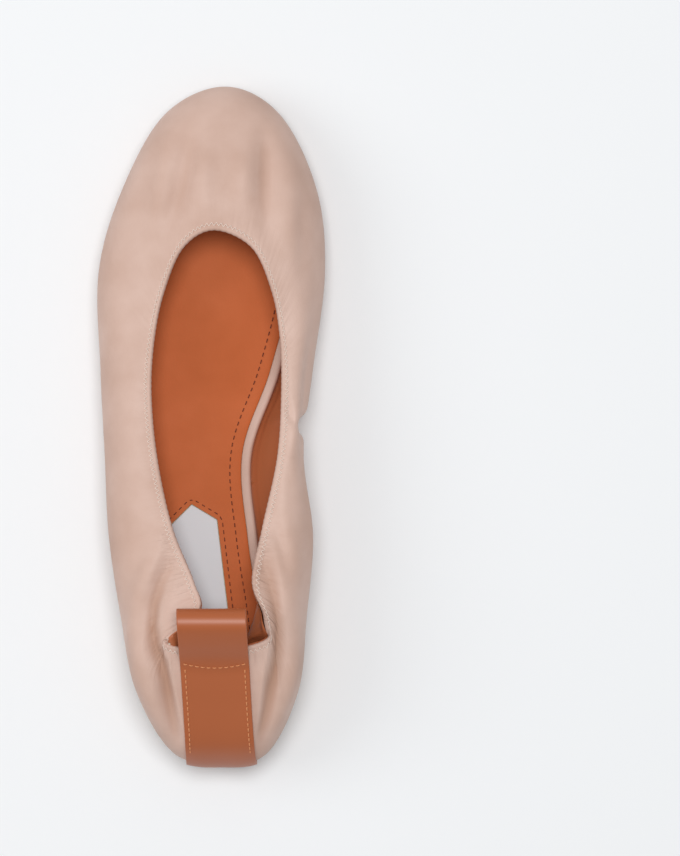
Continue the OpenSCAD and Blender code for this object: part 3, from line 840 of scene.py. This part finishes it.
class SLIPPER_OT_linings(bpy.types.Operator):
    """Makes the lining and the layers between it and the outer leather"""
    bl_idname = "slipper.linings"
    bl_label = "Lining, tape and counter"

    def execute(self, context):
        s = sizes()
        mid = -(s.leather + s.layer_gap)
        lining = mid - s.lining - s.layer_gap
        # the lining's edge laps over the leather that turns down inside the opening
        lap = -2 * s.lip - s.layer_gap
        for name, ends, columns, bend, nodes in (
                ("lining_front", FRONT, 240, bend_at_ball,
                 ("vamp_lining", "flex_lining", "quarter_lining")),
                ("lining_back", BACK, 300, bend_at_heel, ("heel_lining",))):
            u = np.linspace(*ends, columns)
            raised = 0.0016 * round_heel(u)
            top = 1 - ((lip_radius(u) + 0.0007 - raised) / rise(u))[:, None]
            rings = wall_rings(u, lap, lap - s.lining, 0.02, top, 56, LINING_MARGIN)
            piece = swept(name, rings)
            # painted shade: darkens the lining low in the shoe, where the walls shade it
            low = 1 - smooth((rings[..., 2] - 0.02) / 0.018)
            mark(piece, 0.9 * low.ravel(), "edge")
            finish_piece(piece, material("lining_leather"), 85)
            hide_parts(*nodes)
            bend(piece)
        for name, ends, columns, bend, nodes in (
                ("tape_front", FRONT, 140, bend_at_ball, ("elastic_front", "flex_elastic",
                                                          "elastic_sides")),
                ("tape_back", BACK, 160, bend_at_heel, ("elastic_back",))):
            u = np.linspace(*ends, columns)
            reach = rise(u)[:, None]
            corner = np.exp(-((np.abs(turn_from_heel(u)) - CORNER) / 0.3) ** 2)[:, None]
            top = 1 - (s.lip + s.facing + 0.0006 + 0.0022 * corner) / reach
            rings = wall_rings(u, mid, lining + 0.0003, top - s.tape / reach, top, 5)
            piece = swept(name, rings)
            finish_piece(piece, material("tape_cloth"))
            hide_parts(*nodes)
            bend(piece)
        counter = swept("heel_stiffener", wall_rings(np.linspace(-1.4, 1.4, 60), mid,
                                                     lining + s.layer_gap, 0.05, 0.75, 16))
        finish_piece(counter, material("tape_cloth"))
        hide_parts("heel_counter")
        bend_at_heel(counter)
        return {"FINISHED"}


# ---------------------------------------------------------------- stitches

def stitch_model(name, thread):
    """One stitch, 1 m long along X, with ends that dip into the leather; threads are copied off it."""
    deselect()
    bpy.ops.mesh.primitive_cylinder_add(vertices=6, radius=thread, depth=1, end_fill_type="TRIFAN",
                                        rotation=(0, math.pi / 2, 0))
    model = bpy.context.active_object
    model.name = name
    bpy.ops.object.transform_apply(location=True, rotation=True, scale=True)
    bpy.ops.object.mode_set(mode="EDIT")
    for place in (-0.36, -0.12, 0.12, 0.36):
        bpy.ops.mesh.select_all(action="SELECT")
        bpy.ops.mesh.bisect(plane_co=(place, 0, 0), plane_no=(1, 0, 0))
    bpy.ops.object.mode_set(mode="OBJECT")
    return model


def sew(name, starts, ends, ups, thread, thread_name, lift=0.5):
    """A row of stitches: each runs from a start to an end and stands up off the surface."""
    model = stitch_model(name + "_one", thread)
    shape = np.array([v.co for v in model.data.vertices])
    faces = [tuple(f.vertices) for f in model.data.polygons]
    points, sides = [], []
    for start, end, up in zip(starts, ends, ups):
        run = end - start
        along_run = unit(run)
        across = unit(np.cross(up, along_run))
        over = np.cross(along_run, across)
        t = shape[:, 0:1]
        arch = (1 - (2 * t) ** 2) * thread * 1.6 - thread * lift
        base = len(points) * len(shape)
        points.append((start + end) / 2 + run * t + across * shape[:, 1:2]
                      + over * (shape[:, 2:3] + arch))
        sides += [tuple(base + n for n in f) for f in faces]
    bpy.data.objects.remove(model)
    piece = piece_from(name, np.concatenate(points), sides)
    return finish_piece(piece, material(thread_name), 60)


ZIGZAG_TOP = 0.0016        # the zigzag's points, measured down from the topline
ZIGZAG_FOOT = 0.0029
UNDER_STRAP_Y = -0.078     # behind this the strap covers the middle of the topline
UNDER_STRAP_X = 0.0018


def topline_zigzag(stations_from, stations_to):
    """Ends of the zigzag stitches between two stations."""
    s = sizes()
    fine = np.linspace(stations_from, stations_to, 4000)
    arc = topline_length(fine)
    count = int((arc[-1] - arc[0]) / (s.zigzag / 2))
    u = np.interp(np.linspace(arc[0], arc[-1], count), arc, fine)
    far = np.where(np.arange(count) % 2 == 0, ZIGZAG_TOP, ZIGZAG_FOOT)
    v = 1 - far / rise(u)
    at = skin(u, v, np.full(u.shape, 0.00004))
    up = skin_normal(u, v)
    hidden = np.abs(at[:-1, 0] - UNDER_STRAP_X) < s.strap_width / 2 + 0.0006
    keep = ~(hidden & (at[:-1, 1] < UNDER_STRAP_Y))
    return at[:-1][keep], at[1:][keep], up[:-1][keep]


class SLIPPER_OT_topline_stitches(bpy.types.Operator):
    """Sews the zigzag round the opening"""
    bl_idname = "slipper.topline_stitches"
    bl_label = "Topline zigzag"

    def execute(self, context):
        for name, ends, bend in (("zigzag_front", FRONT, bend_at_ball),
                                 ("zigzag_back", BACK, bend_at_heel)):
            starts, stops, ups = topline_zigzag(*ends)
            piece = sew(name, starts, stops, ups, sizes().thread, "light_thread")
            bend(piece)
        return {"FINISHED"}


# ---------------------------------------------------------------- sole and insole

FILLER = 0.0011
BOARD = 0.0017
FOAM = 0.0021
SOCK = 0.001
GAP = 0.0001
BOARD_Z = GAP + FILLER + GAP
FOAM_Z = BOARD_Z + BOARD + GAP
SOCK_Z = FOAM_Z + FOAM + GAP
INSOLE_TOP = SOCK_Z + SOCK
WRAP = 0.0034
TIP = 0.07


def crown_of_sock(side):
    """The sock swells a little between its edges."""
    return 0.0004 * (1 - side ** 2)


def plate(name, loop, depth, low, high, u_from=TIP, u_to=TURN / 2 - TIP, rows=110, columns=22,
          crown=None, edge=0.0):
    """A layer of the sole, from the heel end to the toe end, with a rounded edge if asked."""
    sweep = (1 - np.cos(np.linspace(0, math.pi, rows))) / 2
    u = u_from + (u_to - u_from) * sweep
    outer, inner = inset(loop, u, depth), inset(loop, TURN - u, depth)
    side = np.sin(np.linspace(-math.pi / 2, math.pi / 2, columns))
    share = ((side + 1) / 2)[None, :, None]
    flat = outer[:, None] * (1 - share) + inner[:, None] * share
    top, bottom = flat.copy(), flat.copy()
    top[..., 2] = high(flat[..., 1])
    bottom[..., 2] = low(flat[..., 1])
    if crown is not None:
        top[..., 2] += crown(side)[None, :]
    if edge:
        drop = edge * (1 - np.sqrt(np.clip(1 - (np.clip(np.abs(side) - 0.9, 0, 1) / 0.1) ** 2, 0, 1)))
        top[..., 2] -= drop[None, :]
    rings = np.concatenate([top, bottom[:, ::-1]], axis=1)
    return swept(name, rings)


def over_sole(height):
    return lambda y: sole_height(y) + height


def station_at(loop, depth, y):
    """The outer side's station where an inset loop passes y."""
    u = np.linspace(0.3, 9.7, 2000)
    return float(np.interp(y, inset(loop, u, depth)[:, 1], u))


class SLIPPER_OT_sole(bpy.types.Operator):
    """Makes the outsole, the rubber pad and the hidden layers of the insole"""
    bl_idname = "slipper.sole"
    bl_label = "Sole layers"

    def execute(self, context):
        outsole = plate("outsole", SOLE_LOOP, 0, over_sole(-0.0027), over_sole(-GAP), columns=40)
        finish_piece(outsole, material("sole_leather"))
        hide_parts("outsole_front", "outsole_back")
        pad_low, pad_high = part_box("tread_back")
        toe_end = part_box("tread_front")[1].y
        pad = plate("sole_pad", SOLE_LOOP, 0.004, lambda y: y * 0, lambda y: y * 0 + pad_high.z,
                    station_at(SOLE_LOOP, 0.004, pad_low.y), station_at(SOLE_LOOP, 0.004, toe_end))
        finish_piece(pad, material("sole_rubber"))
        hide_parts("tread_front", "tread_back")
        filler = plate("ball_filler", INSOLE_LOOP, 0.004, over_sole(GAP), over_sole(GAP + FILLER),
                       station_at(INSOLE_LOOP, 0.004, FLEX_Y + 0.0003))
        finish_piece(filler, material("tape_cloth"))
        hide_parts("filler_front")
        board = plate("insole_board", INSOLE_LOOP, 0.001, over_sole(BOARD_Z),
                      over_sole(BOARD_Z + BOARD))
        finish_piece(board, material("insole_board"))
        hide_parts("board_front", "board_back")
        foam = plate("insole_foam", INSOLE_LOOP, 0.001, over_sole(FOAM_Z),
                     over_sole(FOAM_Z + FOAM - GAP))
        finish_piece(foam, material("insole_foam"))
        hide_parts("foam_front", "foam_back")
        for piece in (outsole, pad, filler, board, foam):
            bend_at_ball(piece)
        return {"FINISHED"}


# The label's window, pointed in front, in millimetres across and along it.
LABEL_TIP = np.array((-7.2, -28.6)) * MM
LABEL_TURN = math.radians(7)
LABEL_SHOULDER = 0.0066
LABEL_LENGTH = 0.072
SOCK_THREAD = 0.00019


def on_label(x, y):
    """A point of the label, across and along from its tip, in plan."""
    c, t = math.cos(LABEL_TURN), math.sin(LABEL_TURN)
    return LABEL_TIP + np.array((x * c - y * t, x * t + y * c))


def label_outline(grow=0.0):
    """Corners of the label, from its tip round by its right, grown by a margin."""
    half = sizes().label_width / 2 + grow
    tip = grow * 1.25
    shoulder = -LABEL_SHOULDER + grow * 0.45
    corners = [(0, tip), (half, shoulder), (half, -LABEL_LENGTH - grow),
               (-half, -LABEL_LENGTH - grow), (-half, shoulder)]
    return [on_label(x, y) for x, y in corners]


def sock_surface(y):
    """Height of the sock's top."""
    return sole_height(y) + INSOLE_TOP + 0.0003


def evenly(points, pitch):
    """Points at an even pitch along a chain of corners."""
    points = np.array(points)
    steps = np.linalg.norm(np.diff(points, axis=0), axis=1)
    total = np.concatenate([[0], np.cumsum(steps)])
    at = np.linspace(0, total[-1], max(2, int(round(total[-1] / pitch)) + 1))
    return np.stack([np.interp(at, total, points[:, i]) for i in range(points.shape[1])], axis=1)


def sock_stitches(name, plan_path, pitch, dash=0.55):
    """A row of plain stitches on the sock along a path in plan."""
    at = evenly(plan_path, pitch)
    at3 = np.column_stack([at, sock_surface(at[:, 1])])
    runs = np.diff(at3, axis=0)
    starts = at3[:-1] + runs * (1 - dash) / 2
    ends = at3[1:] - runs * (1 - dash) / 2
    ups = np.tile((0.0, 0.0, 1.0), (len(starts), 1))
    piece = sew(name, starts, ends, ups, SOCK_THREAD, "dark_thread", lift=0.6)
    return piece


class SLIPPER_OT_insole(bpy.types.Operator):
    """Makes the sock, its wrapped edge, the label and their stitches"""
    bl_idname = "slipper.insole"
    bl_label = "Sock, wrapped edge and label"

    def execute(self, context):
        sock = plate("sock", INSOLE_LOOP, WRAP + GAP, over_sole(SOCK_Z), over_sole(INSOLE_TOP),
                     rows=170, columns=44, crown=crown_of_sock, edge=0.0004)
        cutter = self.prism(label_outline(0.00025))
        apply_modifier(sock, "BOOLEAN", operation="DIFFERENCE", object=cutter, solver="EXACT")
        bpy.data.objects.remove(cutter)
        finish_piece(sock, material("tan_leather"), 35)
        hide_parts("sock_front", "sock_back")
        bend_at_ball(sock)
        self.wrap()
        self.label()
        self.stitches()
        return {"FINISHED"}

    def prism(self, outline):
        points = [(x, y, z) for z in (SOCK_Z, 0.04) for x, y in outline]
        n = len(outline)
        sides = [(i, (i + 1) % n, n + (i + 1) % n, n + i) for i in range(n)]
        sides += [tuple(range(n)), tuple(range(n, 2 * n))]
        cutter = piece_from("label_window", points, sides)
        face_outwards(cutter)
        return cutter

    def wrap(self):
        """The nude band round the insole's edge, with a rounded shoulder."""
        u = np.linspace(0, TURN, 420, endpoint=False)
        shoulder = 0.0011
        bends = np.linspace(0, math.pi / 2, 6)
        profile = [(0, BOARD_Z)]
        profile += [(shoulder * (1 - math.cos(a)), INSOLE_TOP - shoulder * (1 - math.sin(a)))
                    for a in bends]
        profile += [(WRAP - 0.0003, INSOLE_TOP), (WRAP, INSOLE_TOP - 0.0003), (WRAP, SOCK_Z),
                    (0.0009, SOCK_Z), (0.0009, BOARD_Z)]
        columns = []
        for depth, height in profile:
            at = inset(INSOLE_LOOP, u, depth)
            at[:, 2] = sole_height(at[:, 1]) + height
            columns.append(at)
        band = swept("insole_wrap", np.stack(columns, axis=1), closed=True)
        finish_piece(band, material("wrap_leather"), 50)
        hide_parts("wrap_front", "wrap_back")
        bend_at_ball(band)

    def label(self):
        """A cloth strip let into the sock, cut from a grid and laid on the foam."""
        s = sizes()
        deselect()
        bpy.ops.mesh.primitive_grid_add(x_subdivisions=10, y_subdivisions=40, size=1)
        label = bpy.context.active_object
        label.name = "sock_label"
        for vertex in label.data.vertices:
            across = vertex.co.x
            down = 0.5 - vertex.co.y
            tip = LABEL_SHOULDER * abs(across) * 2 * (1 - down)
            plan = on_label(across * s.label_width, -LABEL_LENGTH * down - tip)
            vertex.co = (*plan, float(sole_height(plan[1])) + SOCK_Z + 0.0007)
        apply_modifier(label, "SOLIDIFY", thickness=0.0006, offset=-1)
        apply_modifier(label, "BEVEL", width=0.00012, segments=2, limit_method="ANGLE")
        finish_piece(label, material("label_cloth"))
        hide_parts("heel_label")
        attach(label, "rear")

    def stitches(self):
        s = sizes()
        corners = label_outline(0.002)
        round_label = sock_stitches("label_stitches", [corners[3] + (corners[4] - corners[3]) * 0.1,
                                                       corners[4], corners[0], corners[1],
                                                       corners[1] + (corners[2] - corners[1]) * 0.9],
                                    s.stitch)
        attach(round_label, "rear")
        u = np.linspace(0.4, TURN - 0.4, 900)
        path = inset(INSOLE_LOOP, u, WRAP + 0.0042)[:, :2]
        edge_row = sock_stitches("sock_stitches", path, s.stitch)
        bend_at_ball(edge_row)


# ---------------------------------------------------------------- heel strap

STRAP_LEAN = math.radians(40)
STRAP_AXIS = np.array((0, math.cos(STRAP_LEAN), math.sin(STRAP_LEAN)))
STRAP_THREAD = 0.00021
STRAP_STITCH = 0.0021
SIDE_ROWS_Y = (-0.0874, -0.1226)     # from under the loop to the foot of the strap
CROSS_ROW_Y = -0.0871


def strap_centre(y):
    """The strap leans a little to the outer side as it climbs."""
    return 0.0017 - 0.0524 * (y + 0.081)


def heel_line(v, x):
    """Station on the heel back where the surface passes x at height v."""
    u = np.linspace(-CORNER, CORNER, 211)
    across = plain_skin(u, np.full(u.shape, v))[:, 0]
    return np.interp(-x, -across, u)


HEEL_ROWS = 32
LOOP_REACH = 0.019
LOOP_LEG = 0.004
LOOP_FOLD = 0.0043


def strap_sheet(columns=13):
    """Middle surface of the strap, from the sole edge up, over the loop and down inside."""
    s = sizes()
    side = np.linspace(-0.5, 0.5, columns)

    def against_heel(v, depth):
        middle = plain_skin(np.array([0.0]), np.array([v]))[0]
        u = heel_line(v, strap_centre(middle[1]) + side * s.strap_width)
        return skin(u, np.full(u.shape, v), np.full(u.shape, depth), 0.2)

    rows = [against_heel(v, 0.0002 + s.strap / 2) for v in np.linspace(0.07, 0.9, HEEL_ROWS)]
    over = np.array((0, -math.sin(STRAP_LEAN), math.cos(STRAP_LEAN)))
    far = LOOP_REACH - LOOP_FOLD - s.strap / 2
    path = [(-0.0013, LOOP_LEG - 0.0015), (0.003, LOOP_LEG - 0.0007), (0.007, LOOP_LEG),
            (far - 0.002, LOOP_FOLD)]
    path += [(far + LOOP_FOLD * math.sin(a), LOOP_FOLD * math.cos(a))
             for a in np.linspace(0, math.pi, 13)]
    path += [(far - 0.002, -LOOP_FOLD), (0.007, -LOOP_FOLD), (0.0032, -LOOP_LEG),
             (0.0008, -LOOP_LEG - 0.0003)]
    for run, lift in path:
        centre = LOOP_HINGE + STRAP_AXIS * run + over * lift
        x = strap_centre(centre[1]) + side * s.strap_width
        rows.append(np.column_stack([x, np.full(columns, centre[1]), np.full(columns, centre[2])]))
    inside = -(2 * s.lip + s.layer_gap + s.lining + 0.0002 + s.strap / 2)
    rows += [against_heel(v, inside) for v in (0.95, 0.92, 0.88)]
    return np.array(rows)


class SLIPPER_OT_strap(bpy.types.Operator):
    """Makes the heel strap with its pull loop and stitches"""
    bl_idname = "slipper.strap"
    bl_label = "Heel strap and pull loop"

    def execute(self, context):
        s = sizes()
        rows = strap_sheet()
        count, columns = rows.shape[:2]
        deselect()
        bpy.ops.mesh.primitive_grid_add(x_subdivisions=columns - 1, y_subdivisions=count - 1, size=1)
        strap = bpy.context.active_object
        strap.name = "strap_and_loop"
        for vertex in strap.data.vertices:
            i = round((vertex.co.y + 0.5) * (count - 1))
            j = round((vertex.co.x + 0.5) * (columns - 1))
            vertex.co = rows[i, j]
        apply_modifier(strap, "SOLIDIFY", thickness=s.strap, offset=0)
        apply_modifier(strap, "BEVEL", width=0.0003, segments=3, limit_method="ANGLE")
        apply_modifier(strap, "SUBSURF", levels=1, render_levels=1)
        at = np.array([v.co for v in strap.data.vertices])
        rim = s.strap_width / 2 - np.abs(at[:, 0] - strap_centre(at[:, 1]))
        mark(strap, 1 - smooth((rim - 0.0001) / 0.0007), "edge")
        finish_piece(strap, material("strap_leather"))
        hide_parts("heel_strap", "pull_loop")
        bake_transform(strap)
        self.stitches(rows[:HEEL_ROWS + 2])
        return {"FINISHED"}

    def stitches(self, surface):
        """Two rows down the sides and one across, under the loop."""
        s = sizes()
        normals = unit(np.cross(np.gradient(surface, axis=1), np.gradient(surface, axis=0)))
        outer = surface + normals * (s.strap / 2)
        shares = np.linspace(-0.5, 0.5, surface.shape[1])

        def on_strap(share, y):
            """A point of the strap's outer face and the face's normal there."""
            line, ups = (np.array([[np.interp(share, shares, row[:, i]) for i in range(3)]
                                   for row in sheet]) for sheet in (outer, normals))
            point = [np.interp(y, line[:, 1], line[:, i]) for i in range(3)]
            return point, [np.interp(y, line[:, 1], ups[:, i]) for i in range(3)]

        paths = [[on_strap(share, y) for y in np.linspace(*SIDE_ROWS_Y, 30)]
                 for share in (-0.432, 0.432)]
        paths.append([on_strap(share, CROSS_ROW_Y + 0.0016 * (share / 0.46) ** 2)
                      for share in np.linspace(-0.46, 0.46, 30)])
        starts, ends, ups = [], [], []
        for path in paths:
            at = evenly([place[0] for place in path], STRAP_STITCH)
            runs = np.diff(at, axis=0)
            starts += list(at[:-1] + runs * 0.17)
            ends += list(at[1:] - runs * 0.17)
            turns = np.linspace(0, len(path) - 1, len(runs)).round().astype(int)
            ups += [np.array(path[n][1]) for n in turns]
        piece = sew("strap_stitches", starts, ends, ups, STRAP_THREAD, "strap_thread")
        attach(piece, "heel_back")


# ---------------------------------------------------------------- CAD pieces and stage

class SLIPPER_OT_cad_finishes(bpy.types.Operator):
    """Gives the CAD's own heel, shank, nails and toe puff their finishes"""
    bl_idname = "slipper.cad_finishes"
    bl_label = "Heel, shank, nails and toe puff"

    def execute(self, context):
        finishes = {"heel_lift": "stacked_leather", "heel_top_piece": "sole_rubber",
                    "heel_nails": "shank_steel", "shank": "shank_steel", "toe_puff": "tape_cloth"}
        for node, finish in finishes.items():
            piece = frame["nodes"][node]
            piece.data.materials.clear()
            piece.data.materials.append(material(finish))
        return {"FINISHED"}


class SLIPPER_OT_stage(bpy.types.Operator):
    """Sets the floor, the soft lights and the overhead camera"""
    bl_idname = "slipper.stage"
    bl_label = "Floor, lights and camera"

    def execute(self, context):
        stage = context.scene.slipper_stage
        deselect()
        bpy.ops.mesh.primitive_plane_add(size=8, location=(0, 0, -0.00005))
        floor = context.active_object
        floor.name = "floor"
        surface, nodes, links, shader = new_material("floor_paint")
        shader.inputs["Base Color"].default_value = stage.floor
        shader.inputs["Roughness"].default_value = 0.9
        floor.data.materials.append(surface)
        self.light("key", (0.05, 0.25, 2.1), 1.0, stage.key_light)
        self.light("fill", (-1.4, 0.2, 1.2), 1.2, stage.fill_light)
        world = bpy.data.worlds.new("studio")
        world.use_nodes = True
        background = world.node_tree.nodes["Background"]
        background.inputs["Color"].default_value = (1, 1, 1, 1)
        background.inputs["Strength"].default_value = stage.room_light
        context.scene.world = world
        context.scene.view_settings.view_transform = "Standard"
        lens = bpy.data.cameras.new("camera")
        camera = bpy.data.objects.new("camera", lens)
        context.scene.collection.objects.link(camera)
        camera.location = (stage.picture_centre_x, stage.picture_centre_y, stage.camera_height)
        widest = 0.018
        lens.lens = lens.sensor_width * (stage.camera_height - widest) / stage.picture_height
        lens.clip_start = 0.05
        context.scene.camera = camera
        return {"FINISHED"}

    def light(self, name, place, size, power):
        data = bpy.data.lights.new(name, "AREA")
        data.shape = "DISK"
        data.size = size
        data.energy = power
        lamp = bpy.data.objects.new(name, data)
        bpy.context.scene.collection.objects.link(lamp)
        lamp.location = place
        lamp.rotation_euler = (-Vector(place)).to_track_quat("-Z", "Y").to_euler()


class SLIPPER_PT_panel(bpy.types.Panel):
    """Lists the slipper's pieces in the order in which they are made"""
    bl_idname = "SLIPPER_PT_panel"
    bl_label = "Ballet slipper"
    bl_space_type = "VIEW_3D"
    bl_region_type = "UI"
    bl_category = "Slipper"

    def draw(self, context):
        for piece in PIECES:
            self.layout.operator(piece.bl_idname)


PIECES = (SLIPPER_OT_stage, SLIPPER_OT_upper, SLIPPER_OT_linings, SLIPPER_OT_topline_stitches,
          SLIPPER_OT_sole, SLIPPER_OT_insole, SLIPPER_OT_strap, SLIPPER_OT_cad_finishes)
SETTINGS = (SlipperSizes, SlipperColours, SlipperStage)


def register():
    for kind in SETTINGS + PIECES + (SLIPPER_PT_panel,):
        bpy.utils.register_class(kind)
    bpy.types.Scene.slipper_sizes = PointerProperty(type=SlipperSizes)
    bpy.types.Scene.slipper_colours = PointerProperty(type=SlipperColours)
    bpy.types.Scene.slipper_stage = PointerProperty(type=SlipperStage)


def unregister():
    del bpy.types.Scene.slipper_stage
    del bpy.types.Scene.slipper_colours
    del bpy.types.Scene.slipper_sizes
    for kind in reversed(SETTINGS + PIECES + (SLIPPER_PT_panel,)):
        bpy.utils.unregister_class(kind)


def main():
    register()
    bpy.ops.slipper.stage()
    bpy.ops.slipper.upper()
    bpy.ops.slipper.linings()
    bpy.ops.slipper.topline_stitches()
    bpy.ops.slipper.sole()
    bpy.ops.slipper.insole()
    bpy.ops.slipper.strap()
    bpy.ops.slipper.cad_finishes()
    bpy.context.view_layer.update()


if __name__ == "__main__":
    main()
